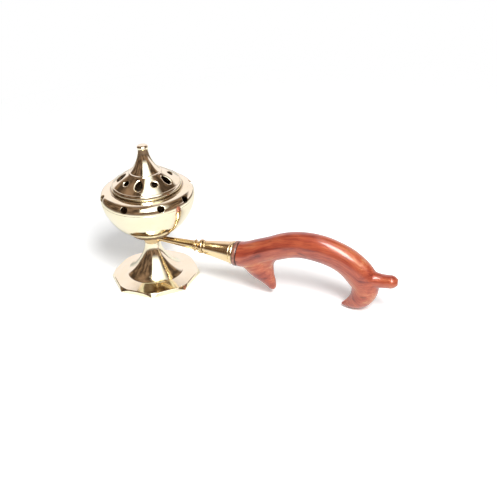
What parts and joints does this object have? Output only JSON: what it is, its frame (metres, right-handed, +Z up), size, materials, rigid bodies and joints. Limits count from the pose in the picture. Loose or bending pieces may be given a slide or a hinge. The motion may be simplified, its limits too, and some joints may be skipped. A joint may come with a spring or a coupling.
{
  "type": "hand censer",
  "caption": "Hand censer: turned brass bowl with a pierced shoulder and a lift-off pierced lid, on a bell foot with a faceted flange, held by a brass shank and a carved wooden grip.",
  "frame": {"origin": "under the middle of the bounding box, on the surface that the foot stands on", "axes": "+X along the handle from the vessel to the tail of the grip, +Z up along the vessel's axis, +Y to the left seen along +X"},
  "size_m": [0.241, 0.075, 0.1183],
  "materials": {
    "polished_brass": "polished, with fine turning marks",
    "handle_brass": "polished, more golden",
    "screw_steel": "plain",
    "collar_wood": "lacquered, dark",
    "grip_wood": "lacquered, glossy, grain along the grip"
  },
  "bodies": {
    "censer": {"foot": "polished_brass", "shank": "handle_brass", "saucer": "polished_brass", "bowl": "polished_brass", "bowl_shoulder": "polished_brass", "clamp_washer": "screw_steel", "clamp_screw": "screw_steel", "ferrule": "handle_brass", "collar": "collar_wood", "grip": "grip_wood"},
    "lid": {"lid": "polished_brass"}
  },
  "joints": [
    {"name": "lid_lift", "type": "slide", "parent": "censer", "child": "lid", "axis": [0, 0, 1], "range_m": [0, 0.05]}
  ]
}
